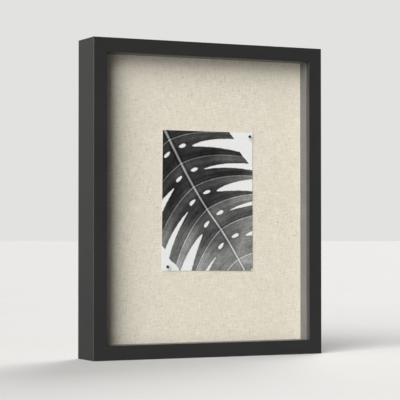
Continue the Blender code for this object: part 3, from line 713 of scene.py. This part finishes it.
def smooth_line(points, closed=False, steps=5):
    """A Catmull-Rom curve through places on the print."""
    p = np.array(points, float)
    if closed:
        p = np.vstack([p[-1:], p, p[:2]])
    else:
        p = np.vstack([2 * p[0] - p[1], p, 2 * p[-1] - p[-2]])
    t = (np.arange(steps) / steps)[:, None]
    spans = []
    for a, b, c, d in zip(p, p[1:], p[2:], p[3:]):
        bend = (2 * a - 5 * b + 4 * c - d) * t**2 + (3 * b - a - 3 * c + d) * t**3
        spans.append(0.5 * (2 * b + (c - a) * t + bend))
    if not closed:
        spans.append(p[-2:-1])
    return np.vstack(spans)


def fan_line(share, side, first=0.0, last=1.35, count=7):
    """Places along a line that leaves the midrib and sweeps towards the leaf's tip."""
    midrib = smooth_line(MIDRIB)
    at = share * (len(midrib) - 1)
    i = int(np.clip(at, 0, len(midrib) - 2))
    along = midrib[i + 1] - midrib[i]
    root = midrib[i] + (at - i) * along
    along = along / np.hypot(*along)
    across = side * np.array([along[1], -along[0]])
    t = np.linspace(first, last, count)[:, None]
    return root + LEAF_REACH * (t * across + (0.10 * t + 0.32 * t**2) * along)


def slot_outline(share, side):
    """A slot between two ribs: pointed near the midrib, widest at the leaf's edge."""
    middle = fan_line(share, side, SLOT_START, SLOT_END, 7)
    along = np.gradient(middle, axis=0)
    across = np.stack([-along[:, 1], along[:, 0]], axis=1) / np.hypot(*along.T)[:, None]
    width = SLOT_HALF_WIDTH * np.linspace(0, 1, 7)[:, None] ** 0.6
    width = width * (0.8 + 0.35 * math.sin(23 * share + 2 * side))
    return np.vstack([middle - across * width, (middle + across * width)[:0:-1]])


def near_line(line, x, y):
    """Distance to a line, its sign (positive below or right of it) and the share along it."""
    best = np.full(x.shape, 1e9)
    side = np.zeros(x.shape)
    share = np.zeros(x.shape)
    steps = np.linalg.norm(np.diff(line, axis=0), axis=1)
    starts = np.concatenate([[0], np.cumsum(steps)])
    for (ax, ay), (bx, by), start, step in zip(line, line[1:], starts, steps):
        dx, dy = bx - ax, by - ay
        t = np.clip(((x - ax) * dx + (y - ay) * dy) / step**2, 0, 1)
        off_x, off_y = x - ax - t * dx, y - ay - t * dy
        distance = np.hypot(off_x, off_y)
        closer = distance < best
        best = np.where(closer, distance, best)
        side = np.where(closer, np.sign(dx * off_y - dy * off_x), side)
        share = np.where(closer, (start + t * step) / starts[-1], share)
    return best, side, share


def inside_distance(line, x, y):
    """Distance to a closed outline, negative inside it."""
    ring = np.vstack([line, line[:1]])
    distance, _, _ = near_line(ring, x, y)
    crossings = np.zeros(x.shape, int)
    for (ax, ay), (bx, by) in zip(ring, ring[1:]):
        if ay != by:
            between = (ay > y) != (by > y)
            crossings += between & (x < (bx - ax) * (y - ay) / (by - ay) + ax)
    return np.where(crossings % 2 == 1, -distance, distance)


def smoothstep(low, high, value):
    t = np.clip((value - low) / (high - low), 0, 1)
    return t * t * (3 - 2 * t)


def value_noise(x, y, cell, seed):
    """Smooth random variation of a given cell size in millimetres, about -1 to 1."""
    rng = np.random.default_rng(seed)
    lattice = rng.uniform(-1, 1, (64, 64))
    fx, fy = np.abs(x) / cell, np.abs(y) / cell
    ix, iy = fx.astype(int), fy.astype(int)
    tx, ty = smoothstep(0, 1, fx - ix), smoothstep(0, 1, fy - iy)
    corner = [[lattice[(iy + b) % 64, (ix + a) % 64] for a in (0, 1)] for b in (0, 1)]
    upper = corner[0][0] + (corner[0][1] - corner[0][0]) * tx
    lower = corner[1][0] + (corner[1][1] - corner[1][0]) * tx
    return upper + (lower - upper) * ty


def mottle(x, y):
    """Uneven ink and leaf skin, from broad to fine."""
    broad = value_noise(x, y, 11.0, 1)
    middle = value_noise(x + 0.4 * y, y, 4.3, 2)
    fine = value_noise(x, y + 0.3 * x, 1.7, 3)
    return 0.40 * broad + 0.35 * middle + 0.50 * fine


def bell(distance, width):
    return np.exp(-((distance / width) ** 2))


def leaf_tones(x, y):
    """Grey of the drawing, 0 to 255, at places given in millimetres from its upper left."""
    u, v = x * MM / PRINT_WIDTH, y * MM / PRINT_HEIGHT
    tone = 54 + 66 * smoothstep(0.30, 1.15, 0.35 * u + 0.85 * v)
    tone += 20 * value_noise(x + 0.5 * y, y, 26.0, 7) * (0.4 + v)
    fibres = np.zeros(x.shape)
    opened = np.full(x.shape, 1e9)
    for side in (1, -1):
        for number, share in enumerate(RIB_SHARES):
            distance, turn, run = near_line(smooth_line(fan_line(share, side)), x, y)
            fade = smoothstep(1.0, 0.8, run)
            strength = (8 + 62 * share * smoothstep(0.05, 0.6, run) + 14 * side * share) * fade
            dark_side = -0.35 * np.exp(-distance / 7)
            tone += strength * np.where(turn * side > 0, bell(distance, 15), dark_side)
            weight = np.exp(-distance / 10) * smoothstep(0.0, 0.25, run)
            wander = value_noise(distance * 2.2, 60 * run, 1.3, 10 + 8 * (side > 0) + number)
            fibres += weight * (0.6 * wander + 0.4 * np.sin(2.3 * distance + 7 * run + number))
            line = 84 - 50 * smoothstep(0.05, 0.8, run)
            tone += line * bell(distance, 0.6) - 0.22 * line * bell(distance - 1.3, 0.7)
            middle = share + RIB_STEP / 2
            for offset, light in ((-0.30, 14), (-0.16, -20), (0.17, 16), (0.31, -24)):
                vein = smooth_line(fan_line(middle + offset * RIB_STEP, side, 0.03, 1.1))
                distance, _, run = near_line(vein, x, y)
                ends = smoothstep(0.0, 0.12, run) * smoothstep(1.0, 0.7, run)
                tone += light * bell(distance, 0.5) * ends
            slot = smooth_line(slot_outline(middle, side), True)
            opened = np.minimum(opened, inside_distance(slot, x, y))
            opened = np.minimum(opened, hole_distance(middle - 0.1 * RIB_STEP, side, x, y))
    tone += mottle(x, y) * (6 + 0.12 * tone) + 15 * fibres
    distance, _, run = near_line(smooth_line(MIDRIB), x, y)
    thick = 1.7 - 0.9 * run
    tone += 96 * (1 - smoothstep(0.5 * thick, 1.35 * thick, distance))
    tone -= 16 * bell(distance - 2 * thick, 1.3)
    opened = np.minimum(opened, LEAF_REACH + 5 * value_noise(x, y, 19.0, 4) - distance)
    tone -= 18 * np.exp(-np.maximum(opened, 0) / 2.0) * smoothstep(0.0, 0.5, v)
    tone = np.clip(tone, 36, 212)
    paper = 231 + 0.4 * mottle(x, y)
    torn = 0.25 * value_noise(x, y, 2.1, 5)
    return paper + (tone - paper) * smoothstep(-0.36, 0.36, opened + torn)


def hole_distance(share, side, x, y):
    """Distance to an oval hole that lies along the ribs near the midrib, negative inside it."""
    centre, ahead = fan_line(share, side, HOLE_PLACE, HOLE_PLACE + 0.05, 2)
    tilt = math.atan2(ahead[1] - centre[1], ahead[0] - centre[0])
    dx, dy = x - centre[0], y - centre[1]
    along = (dx * math.cos(tilt) + dy * math.sin(tilt)) / HOLE_HALF_LENGTH
    across = (dy * math.cos(tilt) - dx * math.sin(tilt)) / HOLE_HALF_WIDTH
    return (np.hypot(along, across / (1 + 0.18 * along)) - 1) * HOLE_HALF_WIDTH


def print_place(across, up, forward):
    """Row frame place of a point given from the print's middle, lifted towards the glass."""
    cosine, sine = math.cos(PRINT_TILT), math.sin(PRINT_TILT)
    middle = ((PRINT_LOW[0] + PRINT_HIGH[0]) / 2, (PRINT_LOW[2] + PRINT_HIGH[2]) / 2)
    x = middle[0] + across * cosine + up * sine
    z = middle[1] - across * sine + up * cosine
    return np.stack([x, PRINT_HIGH[1] - PAPER_THICKNESS - forward, z], axis=-1)


def curl(across, up):
    """Lift of the paper: it bends about the line through its two pinned corners."""
    diagonal = math.hypot(PRINT_WIDTH, PRINT_HEIGHT)
    off = (across * PRINT_HEIGHT - up * PRINT_WIDTH) / diagonal
    furthest = PRINT_WIDTH * PRINT_HEIGHT / diagonal
    return PRINT_CURL * (off / furthest) ** 2


def make_print():
    """A dense front that holds the drawing, a coarse back and a thin rim between them."""
    columns = round(PRINT_WIDTH / PRINT_CELL) + 1
    rows = round(PRINT_HEIGHT / PRINT_CELL) // 12 * 12 + 1
    back_rows = 13
    stride = (rows - 1) // (back_rows - 1)
    xs = np.linspace(-PRINT_WIDTH / 2, PRINT_WIDTH / 2, columns)
    zs = np.linspace(PRINT_HEIGHT / 2, -PRINT_HEIGHT / 2, rows)
    z_grid, x_grid = np.meshgrid(zs, xs, indexing="ij")
    lift = curl(x_grid, z_grid)
    front = print_place(x_grid, z_grid, lift).reshape(-1, 3)
    back_lift = lift[::stride] - PAPER_THICKNESS
    back = print_place(x_grid[::stride], z_grid[::stride], back_lift).reshape(-1, 3)
    base = len(front)
    faces = []
    for r in range(rows - 1):
        for c in range(columns - 1):
            a = r * columns + c
            faces.append((a, a + columns, a + columns + 1, a + 1))
    for r in range(back_rows - 1):
        for c in range(columns - 1):
            a = base + r * columns + c
            faces.append((a, a + 1, a + columns + 1, a + columns))
        for c, order in ((0, 1), (columns - 1, -1)):
            edge = [(r * stride + k) * columns + c for k in range(stride + 1)]
            loop = edge + [base + (r + 1) * columns + c, base + r * columns + c]
            faces.append(tuple(loop[::-order]))
    for r, back_r, order in ((0, 0, 1), (rows - 1, back_rows - 1, -1)):
        for c in range(columns - 1):
            a, b = r * columns + c, base + back_r * columns + c
            faces.append((a, a + 1, b + 1, b)[::order])
    mesh = bpy.data.meshes.new("leaf_photo")
    mesh.from_pydata(np.vstack([front, back]).tolist(), [], faces)
    x_mm = (x_grid + PRINT_WIDTH / 2) / MM
    y_mm = (PRINT_HEIGHT / 2 - z_grid) / MM
    grey = np.full(len(front) + len(back), 236.0)
    grey[:base] = leaf_tones(x_mm, y_mm).ravel()
    linear = ((grey / 255) ** 2.2 - PAPER_SHINE) / PRINT_LIGHT
    colours = np.ones((len(grey), 4), np.float32)
    colours[:, :3] = np.clip(linear, 0.004, 0.9)[:, None] * np.array([0.995, 1.0, 1.003])
    layer = mesh.color_attributes.new("drawing", "FLOAT_COLOR", "POINT")
    layer.data.foreach_set("color", colours.ravel())
    photo = link(mesh)
    photo.data.shade_smooth()
    photo.data.set_sharp_from_angle(angle=math.radians(40))
    piece(photo, photo_paper(), "case", "leaf_print")


# --- Pins ---

PIN_SHANK_RADIUS = 0.32 * MM


def make_pins():
    """Ball-head pins: a moulded ball with a short neck, on a needle."""
    plastic = black_plastic()
    for corner in ("upper", "lower"):
        body = "pin_" + corner
        low, high, centre = corners("pin_head_" + corner)
        radius = (high.x - low.x) / 2
        neck = radius * 0.36
        ball = [(0, -radius)] + arc(0, 0, radius, -80, 60, 14)
        ball += [
            (neck, radius * 0.96),
            (neck * 0.86, radius * 1.16),
            (PIN_SHANK_RADIUS * 1.1, radius * 1.22),
            (0, radius * 1.22),
        ]
        name = "pin_ball_" + corner
        place_turned(name, ball, 40, centre, plastic, body, "pin_head_" + corner, 50)
        length = corners("pin_shank_" + corner)[1].y - centre.y
        needle = [
            (0, 0.2 * MM),
            (PIN_SHANK_RADIUS, 0.2 * MM),
            (PIN_SHANK_RADIUS, length - 2.2 * MM),
            (PIN_SHANK_RADIUS * 0.6, length - 0.9 * MM),
            (0, length),
        ]
        name, node = "pin_needle_" + corner, "pin_shank_" + corner
        place_turned(name, needle, 20, centre, BRIGHT_STEEL, body, node)


# --- Clips and rivets ---

CLIP_PLACES = {  # and the turn about Y that points the tip at the rail
    "left_upper": 0, "left_lower": 0, "top": 90, "right_upper": 180, "right_lower": 180, "bottom": 270
}
CLIP_THICKNESS = 1.0 * MM
CLIP_REACH = 17.7 * MM
CLIP_TAIL = 10.0 * MM
CLIP_TIP_RADIUS = 2.8 * MM
CLIP_EYE_RADIUS = 5.5 * MM
CLIP_TAIL_RADIUS = 3.4 * MM
CLIP_TAB_START = 5.4 * MM
CLIP_TAB_RISE = 2.6 * MM
RIVET = (  # (radius, height) in millimetres: domed head, shank through the panel, inner foot
    (0, 2.55), (0.75, 2.50), (0.95, 2.62), (1.7, 2.50), (2.5, 2.18), (3.1, 1.72), (3.38, 1.42),
    (3.4, 1.30), (3.25, 1.22), (1.5, 1.22), (1.5, -3.55), (3.1, -3.6), (3.2, -3.7), (3.2, -4.2),
    (3.0, -4.35), (0, -4.4)
)


def in_mm(profile):
    return [(radius * MM, height * MM) for radius, height in profile]


def clip_axis(place):
    """The hinge axis of a clip, at its seat on the back panel."""
    joint = next(j for j in frame["joints"] if j["child"] == "clip_" + place)
    return Vector(joint["pos_m"])


def clip_outline():
    """Plan of a clip: three circles in a row joined by their tangents, tip towards -X."""
    tip_x = -(CLIP_REACH - CLIP_TIP_RADIUS)
    tail_x = CLIP_TAIL - CLIP_TAIL_RADIUS
    tip_lean = math.degrees(math.asin((CLIP_EYE_RADIUS - CLIP_TIP_RADIUS) / -tip_x))
    tail_lean = math.degrees(math.asin((CLIP_EYE_RADIUS - CLIP_TAIL_RADIUS) / tail_x))
    points = arc(tail_x, 0, CLIP_TAIL_RADIUS, tail_lean - 90, 90 - tail_lean, 20)
    points += arc(0, 0, CLIP_EYE_RADIUS, 90 - tail_lean, 90 + tip_lean, 8)
    points += arc(tip_x, 0, CLIP_TIP_RADIUS, 90 + tip_lean, 270 - tip_lean, 20)
    points += arc(0, 0, CLIP_EYE_RADIUS, 270 - tip_lean, 270 + tail_lean, 8)
    return points


def strip_profile(line, thickness, radius):
    """Side view of a bent strip: a line of (along, up) points, its bends rounded, then thickened."""
    rounded = [Vector(line[0])]
    for before, corner, after in zip(line, line[1:], line[2:]):
        corner = Vector(corner)
        start = corner + (Vector(before) - corner).normalized() * radius
        end = corner + (Vector(after) - corner).normalized() * radius
        for i in range(5):
            t = i / 4
            rounded.append(start * (1 - t) ** 2 + corner * 2 * t * (1 - t) + end * t * t)
    rounded.append(Vector(line[-1]))
    upper = []
    for i, point in enumerate(rounded):
        along = (rounded[min(i + 1, len(rounded) - 1)] - rounded[max(i - 1, 0)]).normalized()
        upper.append(point + Vector((-along.y, along.x)) * thickness)
    return [tuple(p) for p in rounded] + [tuple(p) for p in reversed(upper)]


def stamped(name, side, outline, width):
    """A bent strip seen from the side, trimmed to a plan outline, standing in X and Z."""
    blank = link(prism_mesh(name, side, -width, width))
    plan = prism_mesh(name + "_plan", outline, -12 * MM, 12 * MM)
    plan.transform(Matrix.Rotation(math.radians(90), 4, "X"))
    cut(blank, plan, "INTERSECT")
    return blank


def bead_mesh(half_length, half_width, height, centre_x):
    """A low rounded bead pressed into sheet metal, along X."""
    shape = bmesh.new()
    bmesh.ops.create_uvsphere(shape, u_segments=32, v_segments=16, radius=1.0)
    bmesh.ops.scale(shape, vec=(half_length, height, half_width), verts=shape.verts)
    bmesh.ops.translate(shape, vec=(centre_x, CLIP_THICKNESS, 0), verts=shape.verts)
    return mesh_of("bead", shape)


def make_clips():
    rise = CLIP_TAB_START + CLIP_TAB_RISE
    tip, tail = -CLIP_REACH - MM, CLIP_TAIL + MM
    line = [(tip, 0), (CLIP_TAB_START, 0), (rise, CLIP_TAB_RISE), (tail, CLIP_TAB_RISE)]
    side = strip_profile(line, CLIP_THICKNESS, 0.9 * MM)
    master = stamped("clip_master", side, clip_outline(), 9 * MM)
    cut(master, pin_mesh(1.75 * MM, -MM, 4 * MM, 32))
    soften(master, 0.14 * MM)
    cut(master, bead_mesh(4.6 * MM, 1.15 * MM, 0.45 * MM, -9.6 * MM), "UNION")
    for place, turn in CLIP_PLACES.items():
        axis = clip_axis(place)
        mesh = master.data.copy()
        mesh.transform(Matrix.Translation(axis) @ Matrix.Rotation(math.radians(turn), 4, "Y"))
        clip = link(mesh, "swivel_clip_" + place)
        shade(clip)
        piece(clip, NICKEL, "clip_" + place, "turn_clip_" + place)
        name, node = "clip_rivet_" + place, "rivet_" + place
        place_turned(name, in_mm(RIVET), 32, axis, BRIGHT_STEEL, "case", node)
    bpy.data.objects.remove(master)


# --- Hangers, nails, bumpers ---

HANGER_LENGTH = 44.0 * MM
HANGER_WIDTH = 8.4 * MM
HANGER_THICKNESS = 0.8 * MM
HANGER_RISE = 1.0 * MM
HANGER_TEETH = 10
HANGER_PITCH = 2.6 * MM
HANGER_TOOTH = 1.5 * MM
HANGER_NAIL = (  # (radius, height) in millimetres: domed head on the plate, shank, point
    (0, 0.78), (1.1, 0.74), (1.65, 0.55), (1.88, 0.28), (1.9, 0.02), (1.7, 0.0), (0.66, 0.0),
    (0.66, -7.2), (0, -8.8)
)


def hanger_outline():
    """Plan of a hanger: a strip along X with pointed teeth in the middle of its lower edge."""
    half_length, half_width, corner = HANGER_LENGTH / 2, HANGER_WIDTH / 2, 2 * MM
    first_tooth = -HANGER_TEETH * HANGER_PITCH / 2
    points = arc(-half_length + corner, -half_width + corner, corner, 180, 270)
    for tooth in range(HANGER_TEETH):
        start = first_tooth + tooth * HANGER_PITCH
        points.append((start, -half_width))
        root = -half_width + HANGER_TOOTH - 0.35 * MM
        points += arc(start + HANGER_PITCH / 2, root, 0.35 * MM, 150, 30, 4)
    points.append((-first_tooth, -half_width))
    points += arc(half_length - corner, -half_width + corner, corner, 270, 360)
    points += arc(half_length - corner, half_width - corner, corner, 0, 90)
    points += arc(-half_length + corner, half_width - corner, corner, 90, 180)
    return points


def make_hangers():
    """A raised sawtooth plate on two nails, on the top rail and on the right rail."""
    reach = HANGER_LENGTH / 2 + MM
    raised, foot = 15 * MM, 17 * MM
    line = [(-reach, 0), (-foot, 0), (-raised, HANGER_RISE), (raised, HANGER_RISE), (foot, 0), (reach, 0)]
    side = strip_profile(line, HANGER_THICKNESS, 0.8 * MM)
    master = stamped("hanger_master", side, hanger_outline(), 6 * MM)
    soften(master, 0.1 * MM)
    for place, turn in (("top", 0), ("side", 90)):
        low, _, centre = corners("sawtooth_hanger_" + place)
        mesh = master.data.copy()
        mesh.transform(Matrix.Rotation(math.radians(turn), 4, "Y"))
        mesh.transform(Matrix.Translation((centre.x, low.y, centre.z)))
        hanger = link(mesh, "hanger_plate_" + place)
        shade(hanger)
        piece(hanger, BRASS, "case", "sawtooth_hanger_" + place)
        for end in (place + "_first", place + "_second"):
            node = "hanger_nail_" + end
            seat = corners(node)[2]
            seat.y = low.y + HANGER_THICKNESS
            nail = in_mm(HANGER_NAIL)
            place_turned("pin_nail_" + end, nail, 28, seat, BRASS, "case", node)
    bpy.data.objects.remove(master)


def make_bumpers():
    """Moulded soft bumpers: a flat foot, a rounded shoulder and a slightly dished face."""
    rubber = soft_rubber()
    for corner in CORNERS:
        low, high, centre = corners("bumper_" + corner)
        radius = (high.x - low.x) / 2
        height = high.y - low.y + GAP
        profile = [(0, height - 0.12 * MM), (radius * 0.55, height - 0.05 * MM)]
        profile += arc(radius - MM, height - MM, MM, 90, 0)
        profile += [(radius, 0.25 * MM), (radius - 0.2 * MM, 0.02 * MM), (0, 0.02 * MM)]
        centre.y = low.y - GAP
        name, node = "soft_bumper_" + corner, "bumper_" + corner
        place_turned(name, profile, 40, centre, rubber, "case", node)


def dress_cad_nodes():
    """CAD nodes whose shape is right keep it and take a full material."""
    dressed = {"pin_board": soft_board()}
    dressed.update({"v_nail_" + corner: BRIGHT_STEEL for corner in CORNERS})
    for node, material in dressed.items():
        mesh = frame["nodes"][node].data
        mesh.materials.clear()
        mesh.materials.append(material)


# --- Stage, light and camera ---

CAMERA_YAW = math.radians(25.7)  # the camera stands to the left and looks to the right
CAMERA_PITCH = math.radians(1.2)  # and slightly up
CAMERA_DISTANCE = 2.0788
CAMERA_LENS = 150.93
AIM = Vector((-15.4 * MM, FRONT_Y, MIDDLE_Z - 0.5 * MM))
BACKDROP = (0.76, 0.76, 0.75)
ROOM_LIGHT_FRONT = 0.035  # the room is dim before the object and brighter behind it
ROOM_LIGHT_BACK = 0.34
FLOOR_BOUNCE = 0.08  # the floor looks pale but throws little light up into the box


def make_floor():
    shape = bmesh.new()
    bmesh.ops.create_circle(shape, cap_ends=True, segments=96, radius=40.0)
    floor = link(mesh_of("floor", shape))
    floor.location.z = CAD_LOW[2] - 0.05 * MM
    shader = Shader("floor_paint")
    tone = shader.remap(shader.noise(3.0, 2.0, 0.5), 0.2, 0.8)
    seen = shader.blend(tone, (0.545, 0.545, 0.54), (0.565, 0.565, 0.56))
    camera_ray = shader.node("ShaderNodeLightPath").outputs["Is Camera Ray"]
    colour = shader.blend(camera_ray, (FLOOR_BOUNCE,) * 3, seen)
    floor.data.materials.append(shader.finish(colour, 0.9))
    floor.visible_shadow = False  # the fill light comes from below the floor's level


def make_world():
    """Soft room light; the backdrop that shows behind the object is pale."""
    shader = Shader("studio", bpy.data.worlds)
    bpy.context.scene.world = shader.owner
    sky = shader.place.node.outputs["Generated"]
    depth = shader.node("ShaderNodeSeparateXYZ", sky).outputs["Y"]
    strength = shader.remap(depth, -0.4, 0.6, ROOM_LIGHT_FRONT, ROOM_LIGHT_BACK)
    room = shader.node("ShaderNodeBackground", (1.0, 0.99, 0.97, 1.0), strength)
    shown = shader.node("ShaderNodeBackground", (*BACKDROP, 1.0))
    seen = shader.node("ShaderNodeLightPath").outputs["Is Camera Ray"]
    shader.show(shader.node("ShaderNodeMixShader", seen, room.outputs[0], shown.outputs[0]))


def make_sun(name, towards, strength, angle, colour):
    light = bpy.data.lights.new(name, "SUN")
    light.energy = strength
    light.angle = math.radians(angle)
    light.color = colour
    sun = link(light)
    sun.rotation_mode = "QUATERNION"
    sun.rotation_quaternion = Vector(towards).to_track_quat("Z", "Y")


def make_camera():
    level = math.cos(CAMERA_PITCH)
    gaze = Vector((math.sin(CAMERA_YAW) * level, math.cos(CAMERA_YAW) * level, math.sin(CAMERA_PITCH)))
    camera = link(bpy.data.cameras.new("camera"))
    camera.data.lens = CAMERA_LENS
    camera.location = AIM - gaze * CAMERA_DISTANCE
    camera.rotation_mode = "QUATERNION"
    camera.rotation_quaternion = gaze.to_track_quat("-Z", "Y")
    bpy.context.scene.camera = camera


make_camera()
make_rails()
make_glass()
make_spacers()
make_linen()
make_back_panel()
make_print()
make_pins()
make_clips()
make_hangers()
make_bumpers()
dress_cad_nodes()
make_floor()
make_world()
make_sun("key", (-1.36, -1.0, 0.85), 5.4, 48, (1.0, 0.99, 0.975))
make_sun("fill", (-1.17, -1.0, -0.22), 1.15, 32, (1.0, 0.99, 0.975))
make_sun("back", (1.2, 1.0, 1.1), 2.4, 40, (1.0, 0.99, 0.98))
bpy.context.scene.view_settings.view_transform = "Standard"
